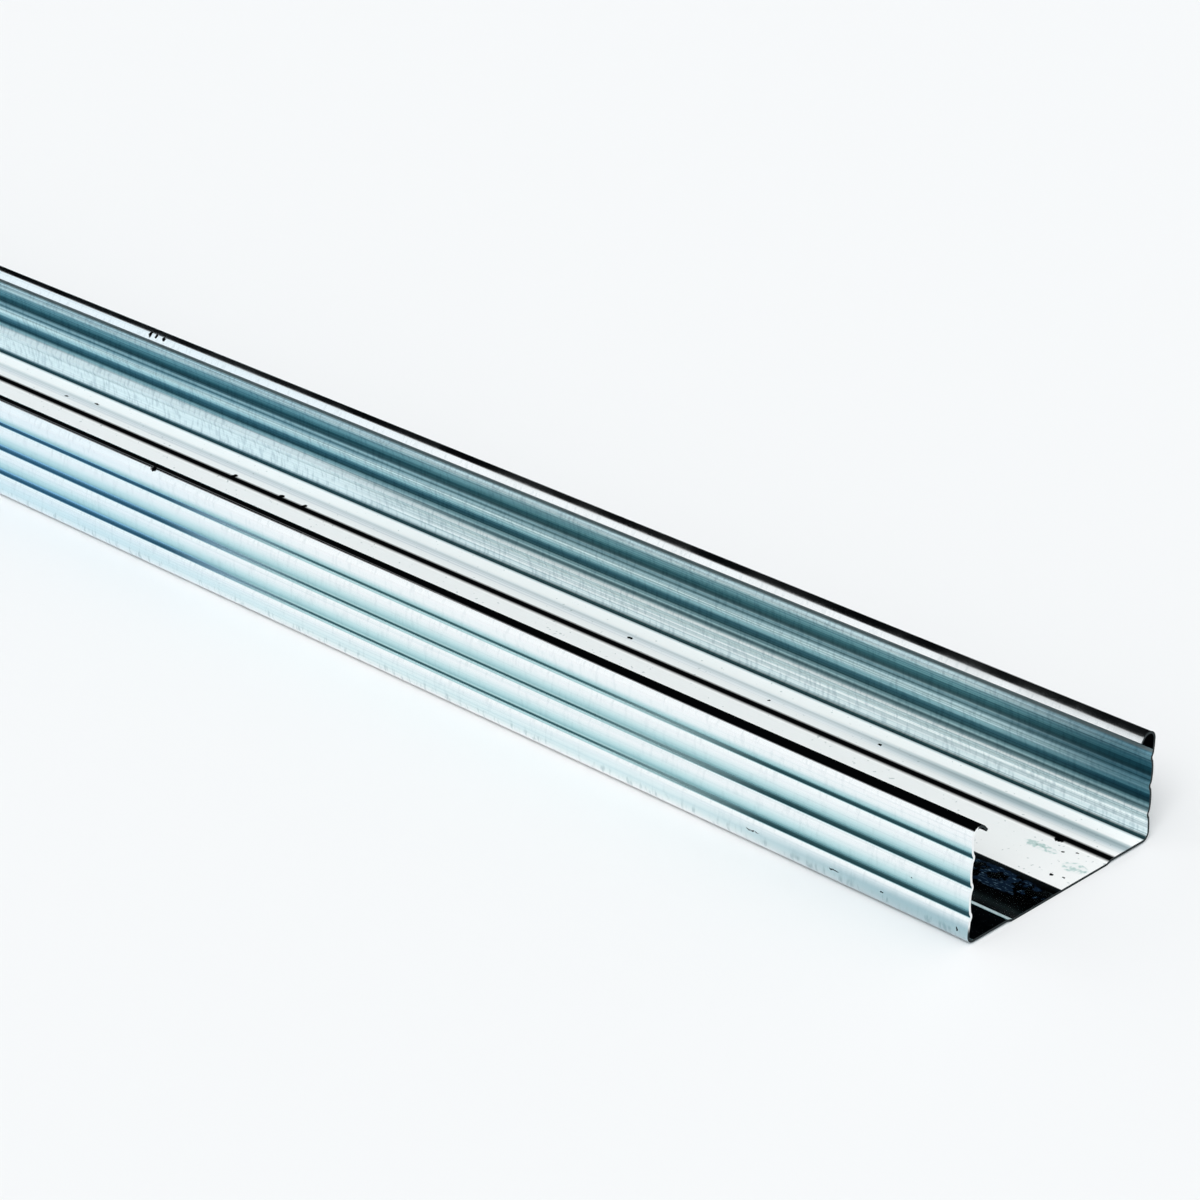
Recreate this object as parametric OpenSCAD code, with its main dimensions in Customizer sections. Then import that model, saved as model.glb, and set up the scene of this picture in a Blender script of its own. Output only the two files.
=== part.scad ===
// Drywall ceiling channel: one length of galvanised steel sheet, cold-rolled to a
// C section. It hangs with its open side up, gripped under the two curled lips,
// and the plasterboard is screwed to the flat panel in the middle of its web.
// X runs along the stock, Y across the web and Z up. The origin is the middle of
// the board face, so the channel lies on Z = 0.

/* [Stock] */
// Length of the piece as it is sold
stock_length = 3000; // [300:10:6000]
// Width over the two flanges
channel_w = 60; // [48:0.5:100]
// Height from the board face to the top of the curled lips
channel_h = 27; // [22:0.5:48]
// Thickness of the sheet
sheet_t = 0.6; // [0.4:0.05:0.8]

/* [Bends] */
// Outside radius of the bends between the web and the flanges
web_bend_r = 2; // [1.2:0.1:3]
// Outside radius of the curl at the top of each flange
lip_curl_r = 2.4; // [1.2:0.1:3]
// Most degrees that one facet of a bend turns
facet_angle = 12; // [6:1:30]

/* [Lips] */
// Slope of a lip down towards its free edge, in degrees
lip_slope = 50; // [0:1:70]
// Length of the flat part of a lip, between its curl and its free edge
lip_flat = 1.25; // [0.5:0.05:6]

/* [Board face] */
// Width of the flat panel that the board is screwed to
panel_w = 31.5; // [20:0.5:40]
// How far the panel stands down from the strips beside it
panel_drop = 0.5; // [0.2:0.05:1]
// Width of the sloping step at each side of the panel
step_w = 1.5; // [1:0.1:3]
// Bend radius where a step meets the panel or a strip
step_bend_r = 1; // [0.8:0.1:1.2]

/* [Stiffening grooves] */
// Number of grooves rolled along each flange
groove_count = 3; // [1:1:3]
// Width of a groove
groove_w = 1.8; // [1.8:0.1:2.4]
// Depth of a groove
groove_d = 0.5; // [0.3:0.05:0.7]
// Bend radius at the shoulders and the bottom of a groove
groove_bend_r = 0.85; // [0.8:0.05:0.9]
// How far the bands beside the grooves bulge outwards
band_crown = 0.25; // [0.05:0.05:0.4]

/* [Hidden] */
galvanised = [0.72, 0.80, 0.84];
// Facets across one band, an even number so that a corner is at its middle
band_facets = 6;
// The plane of the groove shoulders: the bands bulge out from it
shoulder_y = channel_w / 2 - band_crown;
// Heights where the flange starts above the web bend and ends below the curl
flange_low = panel_drop + web_bend_r;
flange_high = channel_h - lip_curl_r;
// Heights of the middles of the grooves, spaced evenly up the channel
groove_zs = [for (i = [1 : groove_count]) channel_h * i / (groove_count + 1)];
// Heights at which each band of a flange starts, ends and has its crest: the
// lowest and the highest band have theirs where they run into a bend
band_lows = [flange_low, for (z = groove_zs) z + groove_w / 2];
band_highs = [for (z = groove_zs) z - groove_w / 2, flange_high];
band_crests = [
    flange_low,
    for (i = [1 : groove_count - 1]) (band_lows[i] + band_highs[i]) / 2,
    flange_high
];

function unit(v) = v / norm(v);

// Left-hand normal of a run, which points into the sheet where the outer face is
// followed from the -Y lip round to the +Y lip
function left_of(v) = [-unit(v).y, unit(v).x];

// Points of a bend on a centre, from one angle to a larger one
function arc(centre, r, from, to) =
    let (facets = ceil((to - from) / facet_angle))
    [
        for (i = [0 : facets])
            let (a = from + (to - from) * i / facets)
            centre + r * [cos(a), sin(a)]
    ];

// Points of the fold at corner b between the runs a-b and b-c
function fold(a, b, c, r) =
    let (
        run_in = unit(b - a),
        run_out = unit(c - b),
        turn = atan2(cross(run_in, run_out), run_in * run_out),
        start = b - run_in * r * tan(abs(turn) / 2),
        centre = start + left_of(run_in) * sign(turn) * r,
        facets = max(1, ceil(abs(turn) / facet_angle)),
        spoke = start - centre
    )
    [
        for (i = [0 : facets])
            let (a = turn * i / facets)
            centre + [spoke.x * cos(a) - spoke.y * sin(a), spoke.x * sin(a) + spoke.y * cos(a)]
    ];

// Corners [y, z, r] with a fold of radius r at each; a corner [y, z] stays sharp
function folded(corners) =
    let (last = len(corners) - 1)
    [
        for (i = [0 : last])
            each len(corners[i]) == 2
                ? [corners[i]]
                : fold(xy(corners[i - 1]), xy(corners[i]), xy(corners[i + 1]), corners[i].z)
    ];

function xy(corner) = [corner.x, corner.y];

// The other face of the sheet: each facet moves in by the thickness, and
// neighbouring facets meet at their mitre
function other_face(face) =
    let (last = len(face) - 1)
    [
        for (i = [0 : last])
            let (
                before = left_of(face[max(i, 1)] - face[max(i, 1) - 1]),
                after = left_of(face[min(i, last - 1) + 1] - face[min(i, last - 1)])
            )
            face[i] + (before + after) * sheet_t / (1 + before * after)
    ];

function mirrored(points) = [for (p = reversed(points)) [-p.x, p.y]];

function reversed(points) = [for (i = [len(points) - 1 : -1 : 0]) points[i]];

// Corners inside the band between two heights, which bulges out to the full
// width at its crest
function band(low, high, crest) =
    let (reach = max(crest - low, high - crest))
    [
        for (i = [1 : band_facets - 1])
            let (z = low + (high - low) * i / band_facets)
            [channel_w / 2 - band_crown * pow((z - crest) / reach, 2), z]
    ];

function groove(z) = [
    [shoulder_y, z - groove_w / 2, groove_bend_r],
    [shoulder_y - groove_d, z, groove_bend_r],
    [shoulder_y, z + groove_w / 2, groove_bend_r]
];

// Outer face of the web, from its middle to the +Y bend
function web_corners() = [
    [0, 0],
    [panel_w / 2, 0, step_bend_r],
    [panel_w / 2 + step_w, panel_drop, step_bend_r],
    each arc([channel_w / 2 - web_bend_r, flange_low], web_bend_r, -90, 0)
];

// Outer face of the +Y flange, between its two bends
function flange_corners() = [
    for (i = [0 : groove_count])
        each concat(
            i == 0 ? [] : groove(groove_zs[i - 1]),
            band(band_lows[i], band_highs[i], band_crests[i])
        )
];

// Outer face of the +Y lip, from its curl to the middle of its free edge
function lip_corners() =
    let (curl = arc([channel_w / 2 - lip_curl_r, flange_high], lip_curl_r, 0, 90 + lip_slope))
    concat(curl, [curl[len(curl) - 1] - lip_flat * [cos(lip_slope), sin(lip_slope)]]);

module section() {
    half = folded(concat(web_corners(), flange_corners(), lip_corners()));
    outer = concat(mirrored(half), [for (i = [1 : len(half) - 1]) half[i]]);
    polygon(concat(outer, reversed(other_face(outer))));
}

module ceiling_channel() {
    color(galvanised)
        rotate([90, 0, 90])
            linear_extrude(height = stock_length, center = true)
                section();
}

ceiling_channel();
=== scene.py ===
from math import cos, pi, radians, sin

import bpy
from mathutils import Matrix, Vector


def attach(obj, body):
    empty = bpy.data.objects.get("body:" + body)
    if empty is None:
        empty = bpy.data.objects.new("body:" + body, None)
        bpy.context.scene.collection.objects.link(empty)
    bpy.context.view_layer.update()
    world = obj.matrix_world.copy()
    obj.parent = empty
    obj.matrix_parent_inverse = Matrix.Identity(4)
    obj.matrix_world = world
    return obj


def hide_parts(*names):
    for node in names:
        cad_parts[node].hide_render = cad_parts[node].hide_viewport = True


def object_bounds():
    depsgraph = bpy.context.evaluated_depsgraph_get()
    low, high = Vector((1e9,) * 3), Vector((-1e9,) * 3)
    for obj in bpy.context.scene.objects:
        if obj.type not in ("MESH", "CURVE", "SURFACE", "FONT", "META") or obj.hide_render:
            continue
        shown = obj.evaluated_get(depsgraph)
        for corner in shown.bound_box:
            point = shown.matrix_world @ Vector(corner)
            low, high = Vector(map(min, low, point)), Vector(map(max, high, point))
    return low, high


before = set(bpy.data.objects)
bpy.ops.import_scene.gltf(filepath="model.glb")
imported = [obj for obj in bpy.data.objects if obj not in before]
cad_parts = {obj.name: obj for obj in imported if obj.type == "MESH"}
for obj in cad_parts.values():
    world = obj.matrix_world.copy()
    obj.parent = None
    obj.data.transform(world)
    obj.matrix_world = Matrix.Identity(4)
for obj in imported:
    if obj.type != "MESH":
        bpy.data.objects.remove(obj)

cad_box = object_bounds()
cad_low, cad_high = cad_box

# --- Camera ---------------------------------------------------------------------
# A long lens looks down along the stock from beside its near end, with no shift
# and no depth of field. All its distances are from the middle of that end.
TURN = radians(44.1)          # round from the straight-on view of the -Y flange
TILT = radians(26.0)          # down from the horizontal
END_RIGHT = 0.09425           # how far the end stands right of the view's middle
END_UP = -0.0480              # and how far above it
END_AWAY = 0.7919             # distance from the lens along the view
HALF_VIEW = radians(8.764)
NEAREST = 0.05                # of what the lens sees
FURTHEST = 100

near_end = Vector((cad_high.x, 0, (cad_low.z + cad_high.z) / 2))
backwards = Vector((sin(TURN) * cos(TILT), -cos(TURN) * cos(TILT), sin(TILT)))
rightwards = Vector((cos(TURN), sin(TURN), 0))
upwards = backwards.cross(rightwards)

lens = bpy.data.cameras.new("camera")
lens.angle = 2 * HALF_VIEW
lens.clip_start = NEAREST
lens.clip_end = FURTHEST
camera = bpy.data.objects.new("camera", lens)
camera.matrix_world = (
    Matrix.Translation(near_end - rightwards * END_RIGHT - upwards * END_UP + backwards * END_AWAY)
    @ Matrix((rightwards, upwards, backwards)).transposed().to_4x4()
)
bpy.context.collection.objects.link(camera)
bpy.context.scene.camera = camera
bpy.context.scene.view_settings.view_transform = "Standard"

# --- Rolled channel -------------------------------------------------------------
# One strip of galvanised steel, 0.6 mm thick, bent to a C section by a train of
# rolls and cut off square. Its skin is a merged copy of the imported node, with its
# facets smoothed and with cuts across it all along its length.
WELD = 1e-6                   # corners closer than this become one
FLAT = radians(0.5)           # faces that turn less than this become one
SMOOTH = radians(35)          # edges that turn less than this are shaded round
SPAN = 0.05                   # between the cuts along the length

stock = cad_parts["ceiling_channel"]
channel = stock.copy()
channel.data = stock.data.copy()
channel.name = channel.data.name = "rolled_channel"
bpy.context.collection.objects.link(channel)

bpy.ops.object.select_all(action="DESELECT")
channel.select_set(True)
bpy.context.view_layer.objects.active = channel
bpy.ops.object.mode_set(mode="EDIT")
bpy.ops.mesh.select_all(action="SELECT")
bpy.ops.mesh.remove_doubles(threshold=WELD)
bpy.ops.mesh.dissolve_limited(angle_limit=FLAT)
stock_length = cad_high.x - cad_low.x
cuts = round(stock_length / SPAN)
for i in range(1, cuts):
    bpy.ops.mesh.select_all(action="SELECT")
    cut_x = cad_low.x + stock_length * i / cuts
    bpy.ops.mesh.bisect(plane_co=(cut_x, 0, 0), plane_no=(1, 0, 0))
bpy.ops.object.mode_set(mode="OBJECT")
bpy.ops.mesh.customdata_custom_splitnormals_clear()
bpy.ops.object.shade_smooth_by_angle(angle=SMOOTH)

# The ring of corners round the section, from a cut end, which has more corners than
# any other face. It starts at the outer corner of one lip's free edge and follows the
# lip's flat, which is longer than the sheet is thick, on to the outer face.
LIP_Z = 0.0245                # the curls and lips are above this height
mesh = channel.data
mesh.materials.clear()
ends = sorted(mesh.polygons, key=lambda face: len(face.vertices))[-2:]
ring = [mesh.vertices[i].co.yz for i in ends[0].vertices]
tips = [
    min((p for p in ring if p.y > LIP_Z and p.x * side > 0), key=lambda p: abs(p.x))
    for side in (-1, 1)
]
ring = ring[ring.index(tips[0]):] + ring[:ring.index(tips[0])]
if (ring[1] - ring[0]).length < (ring[-1] - ring[0]).length:
    ring = [ring[0]] + ring[:0:-1]


def spot(point):
    """A point of the section to the nearest micrometre."""
    return round(point.x * 1e6), round(point.y * 1e6)


along, girth = {}, 0
for point, after in zip(ring, ring[1:] + ring[:1]):
    along[spot(point)] = girth
    girth += (after - point).length
outer_end = along[spot(tips[1])]
thickness = girth - along[spot(ring[-1])]

# The strip's own map: U runs along the stock, and V round the section, over the outer
# face and back over the inner one. The cut ends lie side by side in a band of their own.
ENDS_V = 0.92                 # where that band starts
OUTER, INNER, CUT = range(3)  # the material slots, in the order in which they are filled
strip_map = mesh.uv_layers.new(name="OFBake")


def map_end(face, corners):
    """Lays out a cut end, in its own half of the ends' band."""
    half = 0.5 if face.normal.x > 0 else 0
    for loop, p in zip(face.loop_indices, corners):
        across = (p.y - cad_low.y) / (cad_high.y - cad_low.y)
        up = (p.z - cad_low.z) / (cad_high.z - cad_low.z)
        strip_map.data[loop].uv = half + across / 2, ENDS_V + (1 - ENDS_V) * up


def map_side(face, corners):
    """Lays out a face of the strip, and gives back its place round the section."""
    runs = [along[spot(p.yz)] for p in corners]
    if max(runs) - min(runs) > girth / 2:
        runs = [run or girth for run in runs]     # it closes the ring
    for loop, p, run in zip(face.loop_indices, corners, runs):
        u = (p.x - cad_low.x) / stock_length
        strip_map.data[loop].uv = u, ENDS_V * run / girth
    return sum(runs) / len(runs)


for face in mesh.polygons:
    corners = [mesh.vertices[i].co for i in face.vertices]
    if face in ends:
        map_end(face, corners)
        face.material_index = CUT
        continue
    middle = map_side(face, corners)
    if outer_end < middle < outer_end + thickness or middle > girth - thickness:
        face.material_index = CUT
    else:
        face.material_index = OUTER if middle < outer_end else INNER


def shader(name):
    """A new material, its node tree and its principled shader."""
    made = bpy.data.materials.new(name)
    made.use_nodes = True
    return made, made.node_tree, made.node_tree.nodes["Principled BSDF"]


def add(tree, kind, settings=None, **inputs):
    """A node of a kind, with its settings. Its inputs go by name, or by number as _0."""
    made = tree.nodes.new("ShaderNode" + kind)
    for name, value in (settings or {}).items():
        setattr(made, name, value)
    for name, value in inputs.items():
        socket = made.inputs[int(name[1:]) if name[1:].isdigit() else name.replace("_", " ")]
        if isinstance(value, bpy.types.NodeSocket):
            tree.links.new(value, socket)
        else:
            socket.default_value = value
    return made


def blend_range(tree, value, low, high, start=0.0, end=1.0):
    """Goes smoothly from start to end as the value goes from low to high."""
    smooth = {"interpolation_type": "SMOOTHSTEP"}
    return add(tree, "MapRange", smooth, Value=value, From_Min=low, From_Max=high,
               To_Min=start, To_Max=end).outputs["Result"]


def maths(tree, operation, first, second=0.0):
    """One operation on two values, each a socket or a number."""
    return add(tree, "Math", {"operation": operation}, _0=first, _1=second).outputs["Value"]


def product(tree, first, *others):
    """All of the values multiplied together."""
    for other in others:
        first = maths(tree, "MULTIPLY", first, other)
    return first


def between(tree, value, rise, fall):
    """1 between two edges: each is (the value where it is 0, the value where it is 1)."""
    return product(tree, blend_range(tree, value, *rise), blend_range(tree, value, *fall))


def towards_end(tree, along_x, far, near, start=0.0, end=1.0):
    """Goes from start to end between two distances from the near end."""
    return blend_range(tree, along_x, cad_high.x - far, cad_high.x - near, start, end)


def away_from(tree, value, middle):
    """How far a value is from a middle one."""
    return maths(tree, "ABSOLUTE", maths(tree, "SUBTRACT", value, middle))


def mixed(tree, factor, first, second, blend="MIX"):
    """Two colours, each a socket or an (r, g, b), mixed by a factor."""
    made = add(tree, "Mix", {"data_type": "RGBA", "blend_type": blend}, _0=factor)
    for number, colour in ((6, first), (7, second)):
        if isinstance(colour, bpy.types.NodeSocket):
            tree.links.new(colour, made.inputs[number])
        else:
            made.inputs[number].default_value = (*colour, 1)
    return made.outputs[2]


def either(tree, factor, first, second):
    """The first value where the factor is 0, and the second where it is 1."""
    return add(tree, "Mix", {"data_type": "FLOAT"}, _0=factor, _2=first, _3=second).outputs[0]


def darkened(tree, tone, share, colour):
    """The tone, multiplied by a colour where the share is 1."""
    return mixed(tree, share, tone, mixed(tree, 1, tone, colour, "MULTIPLY"))


def ramp(tree, value, stops, low=0.0, high=1.0):
    """Colour along a value between low and high, from (value, colour) stops."""
    share = add(tree, "MapRange", Value=value, From_Min=low, From_Max=high).outputs["Result"]
    made = add(tree, "ValToRGB", Fac=share)
    band = made.color_ramp
    while len(band.elements) < len(stops):
        band.elements.new(1)
    for element, (at, colour) in zip(band.elements, stops):
        element.position = (at - low) / (high - low)
        element.color = (*colour, 1)
    return made.outputs["Color"]


def noise(tree, place, scale, detail):
    """An uneven value around 0.5, with the scale as its ups and downs to a metre."""
    return add(tree, "TexNoise", Vector=place, Scale=scale, Detail=detail).outputs["Fac"]


def streaks(tree, place, pitch, reach, low, high, seed=0.0):
    """Lines along the stock, from 0 to 1: their pitch round the section and their length."""
    size = (1 / reach, 1 / pitch, 1 / pitch)
    lines = add(tree, "Mapping", Vector=place, Location=(seed, seed, seed), Scale=size)
    uneven = noise(tree, lines.outputs["Vector"], scale=1.0, detail=1.0)
    return blend_range(tree, uneven, low, high)


def chatter(tree, place, low, high):
    """Fine marks across the stock that the rolls leave at about 1 mm pitch, from 0 to 1."""
    marks = add(tree, "Mapping", Vector=place, Scale=(1100, 420, 420)).outputs["Vector"]
    return blend_range(tree, noise(tree, marks, scale=1.0, detail=1.5), low, high)


RAGGED = 0.0008               # how far a mark's outline wanders


def spots_at(tree, place, marks):
    """From 0 to 1 where there is a mark.

    Each mark is (from the near end, y, z, reach along the stock, reach across it).
    """
    wander = add(tree, "TexNoise", Vector=place, Scale=1500.0, Detail=1.0).outputs["Color"]
    shifted = add(tree, "VectorMath", {"operation": "MULTIPLY_ADD"},
                  _0=wander, _1=(RAGGED,) * 3, _2=place).outputs[0]
    found = 0.0
    for from_end, y, z, along_x, across in marks:
        size = (1 / along_x, 1 / across, 1 / across)
        middle = (cad_high.x - from_end, y, z)
        centre = [-scale * (c + RAGGED / 2) for scale, c in zip(size, middle)]
        away = add(tree, "Mapping", Vector=shifted, Location=centre, Scale=size).outputs["Vector"]
        away = add(tree, "VectorMath", {"operation": "LENGTH"}, _0=away).outputs["Value"]
        found = maths(tree, "MAXIMUM", found, blend_range(tree, away, 1.1, 0.8))
    return found


# The painted light and shade turn greener along one stretch and bluer along the next
DRIFT = 0.5                   # from one green stretch to the next
GREENEST = 0.10               # the first one, from the near end
BLUER = (0.72, 0.92, 1.04)


def swing(tree, along_x):
    """The slow change along the stock, from 1 where it is greenest to -1."""
    turns = maths(tree, "MULTIPLY", along_x, 2 * pi / DRIFT)
    shift = 2 * pi * (GREENEST - cad_high.x) / DRIFT
    return maths(tree, "COSINE", maths(tree, "ADD", turns, shift))


def in_shade(tree, tone):
    """How much bluer the painted tone can turn: 1 where it is dark."""
    return blend_range(tree, tone, low=0.15, high=0.6, start=1, end=0.35)


def cloudy(tree, place, least, most):
    """A roughness that drifts between two values, in clouds about 20 mm across."""
    cloud = noise(tree, place, scale=60.0, detail=2.0)
    return blend_range(tree, cloud, low=0.3, high=0.7, start=least, end=most)


def finish(tree, coat, tone, metallic, roughness):
    """Joins up a zinc coat, whose dark tones are matt and have no gloss over them."""
    for name, value in (("Base Color", tone), ("Metallic", metallic), ("Roughness", roughness)):
        tree.links.new(value, coat.inputs[name])
    coat.inputs["Specular IOR Level"].default_value = 0.0


def relief(tree, coat, height, depth):
    """Raises the surface by up to the depth where the height is 1."""
    raised = add(tree, "Bump", Strength=1.0, Distance=depth, Height=height)
    tree.links.new(raised.outputs["Normal"], coat.inputs["Normal"])


BLACK = (0.0010, 0.0012, 0.0015)

# Outer face, as painted light and shade: each band goes from a painted pale crest to a
# painted deep shade on its lower side, so the tones go by how far the face turns up. Here
# and below, a pair of heights or distances is (where something starts, where it is full).
TONES = (
    (-1.00, (0.50, 0.60, 0.64)),
    (-0.60, (0.018, 0.048, 0.056)),
    (-0.19, (0.024, 0.066, 0.076)),
    (-0.15, (0.10, 0.22, 0.245)),
    (-0.12, (0.22, 0.42, 0.45)),
    (-0.08, (0.40, 0.63, 0.66)),
    (-0.04, (0.52, 0.73, 0.76)),
    (0.00, (0.60, 0.79, 0.81)),
    (0.05, (0.74, 0.87, 0.89)),
    (0.14, (0.90, 0.955, 0.97)),
    (0.40, (0.95, 0.98, 0.985)),
)
GROOVE_PITCH = 0.00675        # up the flange, from one groove to the next
SHADE_OVER = -0.0003          # the deepest painted shade, over the middle of a groove
SHADE_REACH = (0.0010, 0.0004)
SHADE_TURN = 0.20             # the face counts as turned down by this much more there
CURL_TURN_Z = (0.0212, 0.0222)
CURL_TURN = 0.04              # and as turned up by this much more under the curl and on it, so painted lighter
# A painted highlight on the curl
CURL_Z = (0.0220, 0.0236)
CURL_SHARE = 0.85
CURL_HIGHLIGHT = (0.95, 0.98, 0.99)

# The stretch along the stock where the painted shades fade, with a painted dark line left over
# each groove
FADED = 0.15                  # its middle, from the near end
FADED_REACH = (0.10, 0.04)
FADED_TONES = (0.6, 0.2)      # only shades fade, and the darkest fade most
FADED_SHARE = 0.85
TEAL = (0.52, 0.76, 0.78)
LINE_OVER = 0.0010            # over the middle of a groove
LINE_REACH = (0.0006, 0.0002)
LINE_Z = (0.0030, 0.0040)
LINE_DEEP = (0.030, 0.085, 0.095)

# The bend under the lowest band, painted pale and white as painted light, and what darkens
# the face: painted shade near its end, and streaks and marks all over
# The bend under the lowest band painted pale, and the web's bend under it painted white, as
# painted light
FOOT_Z = (0.0040, 0.0022)
FOOT = (0.86, 0.92, 0.92)
TOE_Z = (0.0020, 0.0014)
TOE = (1.0, 1.0, 1.0)
OUTER_BLUE = (0.6, -0.8)      # swings between which the painted tones turn bluer
BLUE_SHADES = (0.50, 0.15)    # tones between which the painted shades turn lighter too
LIGHTER = (1.8, 1.7, 2.2)
# Painted shade under the lowest band, towards the near end
END_X = (0.09, 0.01)          # from the near end
END_Z = (0.0062, 0.0040)
END_SHADE = (0.56, 0.66, 0.70)
OUTER_STREAK = (0.55, 0.66, 0.70)
STREAK_SHARE = 0.25
OUTER_CHATTER = (0.45, 0.55, 0.58)

# A painted dark reflection, black along the -Y curl, and small ticks
EDGE_X = (0.25, 0.02)         # from the near end
EDGE_Z = (0.0268, 0.0263)     # where the black starts, at those two places
EDGE_BLUR = 0.0001
OUTER_MARKS = (               # as spots_at takes them
    (0.0028, -0.0299, 0.0033, 0.0003, 0.0006),
    (0.0148, -0.0299, 0.0101, 0.0006, 0.0002),
    (0.0225, -0.0299, 0.0037, 0.0006, 0.0002),
    (0.0355, -0.0299, 0.0037, 0.0015, 0.0002),
    (0.0580, -0.0299, 0.0041, 0.0020, 0.0002),
    (0.2507, -0.0289, 0.0267, 0.0011, 0.0008),
    (0.3121, 0.0259, 0.0264, 0.0006, 0.0006),
    (0.3150, 0.0259, 0.0264, 0.0005, 0.0008),
    (0.3173, 0.0259, 0.0264, 0.0006, 0.0010),
)


def from_groove(tree, height, over):
    """How far a height is from the nearest line that runs over a groove's middle."""
    return maths(tree, "PINGPONG", maths(tree, "SUBTRACT", height, over), GROOVE_PITCH / 2)


outside, tree, coat = shader("galvanised_outside")
coords = add(tree, "TexCoord").outputs
place = coords["Object"]
axes = add(tree, "SeparateXYZ", Vector=place).outputs
tilt = add(tree, "SeparateXYZ", Vector=coords["Normal"]).outputs["Z"]
# Painted shade, deepened in each groove
from_shade = from_groove(tree, axes["Z"], SHADE_OVER)
tilt = maths(tree, "SUBTRACT", tilt, blend_range(tree, from_shade, *SHADE_REACH, end=SHADE_TURN))
tilt = maths(tree, "ADD", tilt, blend_range(tree, axes["Z"], *CURL_TURN_Z, end=CURL_TURN))
# Painted light and shade, by how far the face turns up
tone = ramp(tree, tilt, TONES, low=-1, high=1)
tone = mixed(tree, blend_range(tree, axes["Z"], *CURL_Z, end=CURL_SHARE), tone, CURL_HIGHLIGHT)

# The painted shades fade along one stretch, with a painted dark line over each groove
stretch = blend_range(tree, away_from(tree, axes["X"], cad_high.x - FADED), *FADED_REACH)
faded = product(tree, stretch, blend_range(tree, tone, *FADED_TONES, end=FADED_SHARE))
tone = mixed(tree, faded, tone, TEAL)
line = blend_range(tree, from_groove(tree, axes["Z"], LINE_OVER), *LINE_REACH)
line = product(tree, stretch, line, blend_range(tree, axes["Z"], *LINE_Z))
tone = mixed(tree, line, tone, LINE_DEEP)

foot = blend_range(tree, axes["Z"], *FOOT_Z)
tone = mixed(tree, foot, tone, FOOT)
tone = mixed(tree, blend_range(tree, axes["Z"], *TOE_Z), tone, TOE)
# The painted tones turn bluer, and their darkest shades lighter, along one stretch
blue = blend_range(tree, swing(tree, axes["X"]), *OUTER_BLUE)
tone = darkened(tree, tone, product(tree, blue, in_shade(tree, tone)), BLUER)
lighter = product(tree, blue, blend_range(tree, tone, *BLUE_SHADES))
tone = darkened(tree, tone, lighter, LIGHTER)
by_end = product(
    tree, towards_end(tree, axes["X"], *END_X), blend_range(tree, axes["Z"], *END_Z)
)
tone = darkened(tree, tone, by_end, END_SHADE)
lines = streaks(tree, place, pitch=0.0004, reach=0.25, low=0.5, high=0.75)
tone = darkened(tree, tone, product(tree, lines, STREAK_SHARE), OUTER_STREAK)
marks = blend_range(tree, foot, 0, 1, start=0.15, end=0.6)
marks = product(tree, chatter(tree, place, low=0.5, high=0.75), marks)
tone = darkened(tree, tone, marks, OUTER_CHATTER)

# The painted dark reflection on the -Y curl: black above a line that drops towards the near end
edge = towards_end(tree, axes["X"], *EDGE_X, *EDGE_Z)
over_edge = maths(tree, "SUBTRACT", axes["Z"], edge)
black = blend_range(tree, over_edge, -EDGE_BLUR, EDGE_BLUR)
black = product(tree, black, maths(tree, "LESS_THAN", axes["Y"], 0.0))
black = maths(tree, "MAXIMUM", black, spots_at(tree, place, OUTER_MARKS))
tone = mixed(tree, black, tone, BLACK)
metallic = blend_range(tree, tone, low=0.06, high=0.40)
finish(tree, coat, tone, metallic, cloudy(tree, place, least=0.12, most=0.22))
relief(tree, coat, maths(tree, "ADD", lines, marks), depth=4e-6)
channel.data.materials.append(outside)

# Inner face of a flange, as painted light and shade at heights: below each rib a light
# stretch darkens to the middle of the band, and a pair of lines runs above the next rib
FLANGE = (
    (0.0015, (0.024, 0.055, 0.060)),
    (0.0019, (0.86, 0.97, 0.98)),
    (0.0029, (0.74, 0.85, 0.87)),
    (0.0038, (0.97, 1.00, 1.00)),
    (0.0055, (0.92, 1.00, 1.00)),
    (0.0063, (0.52, 0.66, 0.67)),
    (0.0072, (0.94, 1.00, 1.00)),
    (0.0077, (0.28, 0.40, 0.42)),
    (0.0082, (0.075, 0.14, 0.15)),
    (0.0086, (0.34, 0.50, 0.53)),
    (0.0091, (0.31, 0.50, 0.53)),
    (0.0097, (0.028, 0.076, 0.090)),
    (0.0108, (0.042, 0.13, 0.165)),
    (0.0113, (0.14, 0.33, 0.38)),
    (0.0120, (0.45, 0.73, 0.78)),
    (0.0129, (0.74, 0.95, 0.98)),
    (0.0135, (0.82, 1.00, 1.00)),
    (0.0142, (0.56, 0.76, 0.80)),
    (0.0148, (0.14, 0.26, 0.28)),
    (0.0153, (0.46, 0.70, 0.76)),
    (0.0158, (0.14, 0.24, 0.26)),
    (0.0163, (0.028, 0.075, 0.086)),
    (0.0174, (0.050, 0.16, 0.19)),
    (0.0181, (0.15, 0.34, 0.38)),
    (0.0187, (0.20, 0.42, 0.47)),
    (0.0196, (0.31, 0.50, 0.55)),
    (0.0200, (0.56, 0.80, 0.84)),
    (0.0203, (0.80, 0.98, 1.00)),
    (0.0212, (0.72, 0.94, 1.00)),
)
UNDER_CURL = 0.0219           # height of a painted shadow line under the lip
DULL_REACH = (0.0007, 0.0001)
LIP_SHADOW = (0.18, 0.23, 0.24)
HIDDEN_Z = (0.0222, 0.0223)   # above this, all is painted black shade under the lip

# Lowest band, plain and pale along the bluer stretch, as painted light
PLAIN_SWING = (0.4, -0.7)
PLAIN_LOW = (0.0019, 0.0024)
PLAIN_HIGH = (0.0088, 0.0080)
PLAIN = (0.92, 1.0, 1.0)

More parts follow.
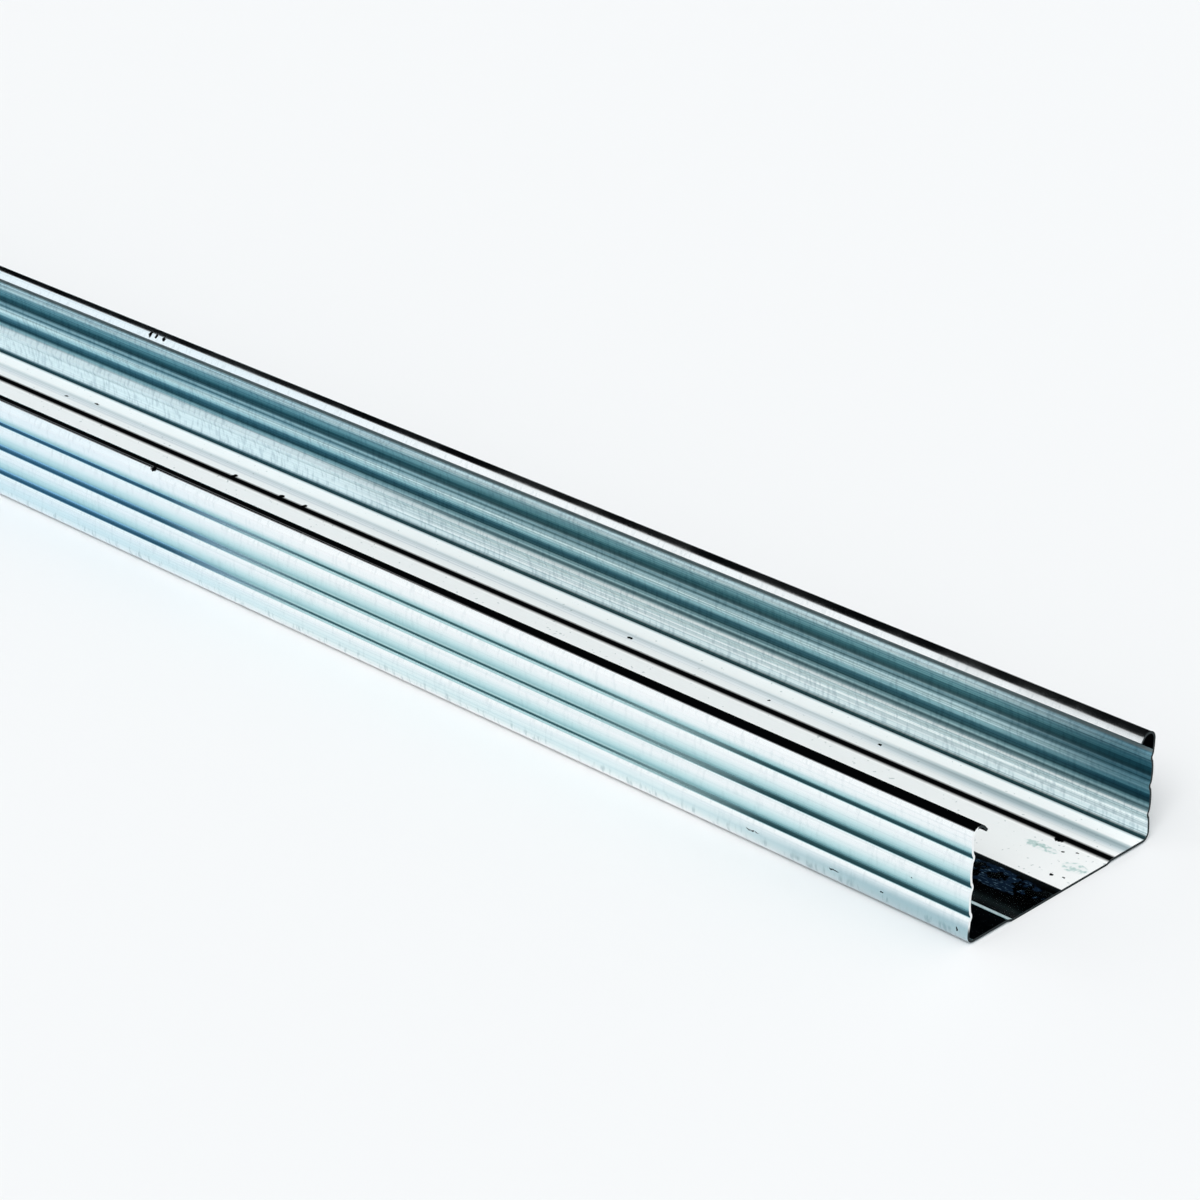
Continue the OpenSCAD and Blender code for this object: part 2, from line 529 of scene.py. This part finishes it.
# What darkens the flange: streaks and chatter, painted shade turned bluer, and painted shade near
# its end
FLANGE_STREAK = (0.26, 0.40, 0.44)
FINE_Z = (0.0078, 0.0090)     # the fine streaks are stronger above these heights
FINE_SHARE = (0.18, 0.5)      # how strong they are below and above
FINE_STREAK = (0.25, 0.36, 0.40)
INNER_CHATTER = (0.50, 0.58, 0.62)
CHATTER_SHARE = 0.5
INNER_BLUE = (0.8, -0.8)
INNER_END_X = (0.055, 0.002)  # from the near end
INNER_END_Z = (0.0075, 0.0110)
INNER_END_SHADE = (0.20, 0.32, 0.37)

inside, tree, coat = shader("galvanised_inside")
place = add(tree, "TexCoord").outputs["Object"]
axes = add(tree, "SeparateXYZ", Vector=place).outputs
green = swing(tree, axes["X"])
flange = ramp(tree, axes["Z"], FLANGE, high=cad_high.z)
plain = product(
    tree,
    blend_range(tree, green, *PLAIN_SWING),
    blend_range(tree, axes["Z"], *PLAIN_HIGH),
    blend_range(tree, axes["Z"], *PLAIN_LOW),
)
flange = mixed(tree, plain, flange, PLAIN)
lines = streaks(tree, place, pitch=0.0004, reach=0.4, low=0.45, high=0.62)
lines = product(tree, lines, blend_range(tree, plain, 0, 1, start=0.55, end=0.1))
flange = darkened(tree, flange, lines, FLANGE_STREAK)
fine = streaks(tree, place, pitch=0.00016, reach=0.05, low=0.48, high=0.70, seed=7.0)
fine = product(tree, fine, blend_range(tree, axes["Z"], *FINE_Z, *FINE_SHARE))
flange = darkened(tree, flange, fine, FINE_STREAK)
marks = product(tree, chatter(tree, place, low=0.45, high=0.72), CHATTER_SHARE)
flange = darkened(tree, flange, marks, INNER_CHATTER)
blue = product(tree, blend_range(tree, green, *INNER_BLUE), in_shade(tree, flange))
flange = darkened(tree, flange, blue, BLUER)
# Painted shade on the flange near the near end
by_end = product(
    tree, towards_end(tree, axes["X"], *INNER_END_X), blend_range(tree, axes["Z"], *INNER_END_Z)
)
flange = darkened(tree, flange, by_end, INNER_END_SHADE)
# A painted shadow line under the lip, and painted black shade above it
dull = blend_range(tree, away_from(tree, axes["Z"], UNDER_CURL), *DULL_REACH)
flange = mixed(tree, dull, flange, LIP_SHADOW)
flange = mixed(tree, blend_range(tree, axes["Z"], *HIDDEN_Z), flange, BLACK)

# Inner face of the web, as colours at distances from its middle: white, with fine grey
# lines and a painted grey reflection along the strips beside the panel, and painted shade at the
# bends
WHITE = (0.98, 0.99, 0.98)
STRIP = (
    (0.0205, WHITE),
    (0.0210, (0.94, 0.96, 0.97)),
    (0.0222, (0.77, 0.82, 0.84)),
    (0.0230, (0.66, 0.72, 0.73)),
    (0.0235, (0.80, 0.85, 0.86)),
    (0.0241, WHITE),
    (0.0275, WHITE),
    (0.0280, (0.60, 0.68, 0.70)),
    (0.0284, (0.45, 0.53, 0.55)),
)
LINED_FROM = (0.0195, 0.0210)
LINED_TO = (0.0245, 0.0235)
LINED = (0.45, 0.50, 0.53)
LINED_SHARE = 0.42
# Painted shade on the strips towards the near end
DIM_FROM = (0.0192, 0.0228)
DIM_TO = (0.0248, 0.0237)
DIM_X = (0.09, 0.03)          # from the near end
DIM = (0.55, 0.63, 0.65)
FLECK = (0.35, 0.42, 0.42)

# Painted dark reflection in black along the middle of the panel and down the +Y step, both as Y
DARK_BAND_FROM = (-0.0024, -0.0018)
DARK_BAND_TO = (0.0007, 0.0003)
CREASE_FROM = (0.0158, 0.0167)
CREASE_TO = (0.0188, 0.0178)

# Green-grey smudges, a dark patch with lighter scratches in it, and black ticks, each
# as spots_at takes it
SMUDGES = (
    (0.0035, 0.0095, 0.0006, 0.0030, 0.0022),
    (0.0142, 0.0118, 0.0006, 0.0045, 0.0014),
)
SMUDGE = (0.45, 0.62, 0.60)
HAZE = ((0.0130, -0.0048, 0.0006, 0.0140, 0.0042),)
NAVY = (0.004, 0.011, 0.024)
SCRATCH = (0.07, 0.13, 0.18)
INNER_MARKS = (
    (0.0095, 0.0131, 0.0006, 0.0004, 0.0004),
    (0.0070, 0.0148, 0.0006, 0.0004, 0.0003),
    (0.0054, 0.0040, 0.0006, 0.0005, 0.0004),
    (0.0028, 0.0048, 0.0006, 0.0004, 0.0003),
    (0.0671, 0.0220, 0.0011, 0.0006, 0.0004),
    (0.0986, 0.0208, 0.0011, 0.0005, 0.0004),
    (0.1426, 0.0218, 0.0011, 0.0009, 0.0005),
    (0.3385, 0.0236, 0.0011, 0.0010, 0.0004),
    (0.3485, 0.0215, 0.0011, 0.0007, 0.0004),
    (0.0130, 0.0164, 0.0007, 0.0014, 0.0007),
    (0.2513, 0.0184, 0.0011, 0.0008, 0.0009),
    (0.2598, 0.0185, 0.0011, 0.0009, 0.0008),
    (0.2777, 0.0183, 0.0011, 0.0009, 0.0011),
)

width = maths(tree, "ABSOLUTE", axes["Y"])
web = ramp(tree, width, STRIP, low=0.01, high=0.03)
lines = streaks(tree, place, pitch=0.0005, reach=0.35, low=0.45, high=0.65, seed=3.0)
lined = product(tree, between(tree, width, LINED_FROM, LINED_TO), lines, LINED_SHARE)
web = mixed(tree, lined, web, LINED)
dim = product(
    tree, between(tree, width, DIM_FROM, DIM_TO), towards_end(tree, axes["X"], *DIM_X)
)
web = darkened(tree, web, dim, DIM)
fleck = noise(tree, place, scale=900.0, detail=1.0)
web = darkened(tree, web, blend_range(tree, fleck, 0.70, 0.76, end=0.5), FLECK)
smudge = spots_at(tree, place, SMUDGES)
smudge = product(tree, smudge, blend_range(tree, fleck, 0.40, 0.62, start=0.1, end=0.8))
web = darkened(tree, web, smudge, SMUDGE)
# Painted dark reflection along the panel's middle and down the +Y step
dark_band = between(tree, axes["Y"], DARK_BAND_FROM, DARK_BAND_TO)
crease = between(tree, axes["Y"], CREASE_FROM, CREASE_TO)
web = mixed(tree, maths(tree, "MAXIMUM", dark_band, crease), web, BLACK)
blotch = noise(tree, place, scale=350.0, detail=2.0)
haze = product(tree, spots_at(tree, place, HAZE), blend_range(tree, blotch, 0.40, 0.54))
scratch = streaks(tree, place, pitch=0.0003, reach=0.0015, low=0.60, high=0.70, seed=11.0)
web = mixed(tree, blend_range(tree, haze, 0, 0.3), web, mixed(tree, scratch, NAVY, SCRATCH))

# Both inner faces in one material. The -Y half of the web is bright and mirrors the
# dark side of the room, and the rest is dull.
WEB_HALF = (0.0284, 0.0281)   # from the middle of the web to its bends
WEB_TOP = 0.005               # the web is below this height
BRIGHT_Y = (0.0007, 0.0001)
BRIGHT_ROUGHNESS = 0.06
on_web = product(
    tree, blend_range(tree, width, *WEB_HALF), maths(tree, "LESS_THAN", axes["Z"], WEB_TOP)
)
tone = mixed(tree, on_web, flange, web)
tone = mixed(tree, spots_at(tree, place, INNER_MARKS), tone, BLACK)
clear = blend_range(tree, haze, 0.4, 1, start=1, end=0)
bright = product(tree, blend_range(tree, axes["Y"], *BRIGHT_Y), on_web, clear)
dull = blend_range(tree, on_web, 0, 1, start=0.45, end=0.12)
dull = product(tree, dull, blend_range(tree, tone, low=0.01, high=0.15), clear)
metallic = either(tree, bright, dull, 1.0)
roughness = either(tree, bright, cloudy(tree, place, least=0.28, most=0.40), BRIGHT_ROUGHNESS)
finish(tree, coat, tone, metallic, roughness)
unmirrored = blend_range(tree, bright, 0, 1, start=1, end=0)
rough = product(tree, maths(tree, "ADD", lines, marks), unmirrored)
relief(tree, coat, rough, depth=8e-6)
channel.data.materials.append(inside)

# Cut edges: bare steel, with a painted highlight across the end of the -Y flange, and dark
# elsewhere
LIT_Y = (-0.0278, -0.0284)
LIT_Z = (0.003, 0.005)
STEEL_DARK = (0.012, 0.02, 0.022)
CUT_HIGHLIGHT = (0.9, 0.93, 0.93)

cut, tree, coat = shader("galvanised_cut")
axes = add(tree, "SeparateXYZ", Vector=add(tree, "TexCoord").outputs["Object"]).outputs
# A painted highlight across the end of the -Y flange
lit = product(tree, blend_range(tree, axes["Y"], *LIT_Y), blend_range(tree, axes["Z"], *LIT_Z))
tone = mixed(tree, lit, STEEL_DARK, CUT_HIGHLIGHT)
tree.links.new(tone, coat.inputs["Base Color"])
coat.inputs["Metallic"].default_value = 1
coat.inputs["Roughness"].default_value = 0.4
channel.data.materials.append(cut)

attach(channel, "root")
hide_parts("ceiling_channel")

# --- Floor ----------------------------------------------------------------------
# A wide floor of pale matt paper, level with the board face that the channel lies
# on. It only catches a faint shadow and is no part of the object.
FLOOR_SIZE = 60
PAPER = (0.855, 0.86, 0.865)

bpy.ops.mesh.primitive_plane_add(size=FLOOR_SIZE, location=(0, 0, cad_low.z))
floor = bpy.context.object
floor.name = "floor"
paper, tree, coat = shader("pale_floor")
coat.inputs["Base Color"].default_value = (*PAPER, 1)
coat.inputs["Roughness"].default_value = 1
coat.inputs["Specular IOR Level"].default_value = 0
floor.data.materials.append(paper)

# --- Light ----------------------------------------------------------------------
# A white room with one dark side, past the far end of the stock and behind it, for
# the bright steel to mirror, and one large soft key light from the front and above.
ROOM = ((0, (0.0006, 0.0010, 0.0014)), (1, (0.96, 0.98, 0.99)))
DARK_SLANT = 1.8              # of the dark side's edge, in Y to X, seen from above
DARK_X = -0.72                # where that edge crosses the stock's line
WHITE_SIDE = (-0.07, -0.18)   # how far past it the room turns white
WHITE_END = (-0.38, -0.15)    # and the X between which it does so too
KEY_STRENGTH = 1.6
KEY_SPREAD = radians(25)
KEY_FROM = (0.35, -0.62, 0.70)

world = bpy.data.worlds.new("studio")
bpy.context.scene.world = world
world.use_nodes = True
tree = world.node_tree
aim = add(tree, "SeparateXYZ", Vector=add(tree, "TexCoord").outputs["Generated"]).outputs
past_edge = product(tree, maths(tree, "SUBTRACT", aim["X"], DARK_X), DARK_SLANT)
past_edge = maths(tree, "ADD", aim["Y"], past_edge)
side = blend_range(tree, past_edge, *WHITE_SIDE)
end = blend_range(tree, aim["X"], *WHITE_END)
room = ramp(tree, maths(tree, "MAXIMUM", side, end), ROOM)
tree.links.new(room, tree.nodes["Background"].inputs["Color"])

key = bpy.data.lights.new("key", "SUN")
key.energy = KEY_STRENGTH
key.angle = KEY_SPREAD
lamp = bpy.data.objects.new("key", key)
lamp.rotation_mode = "QUATERNION"
lamp.rotation_quaternion = Vector(KEY_FROM).to_track_quat("Z", "Y")
bpy.context.collection.objects.link(lamp)
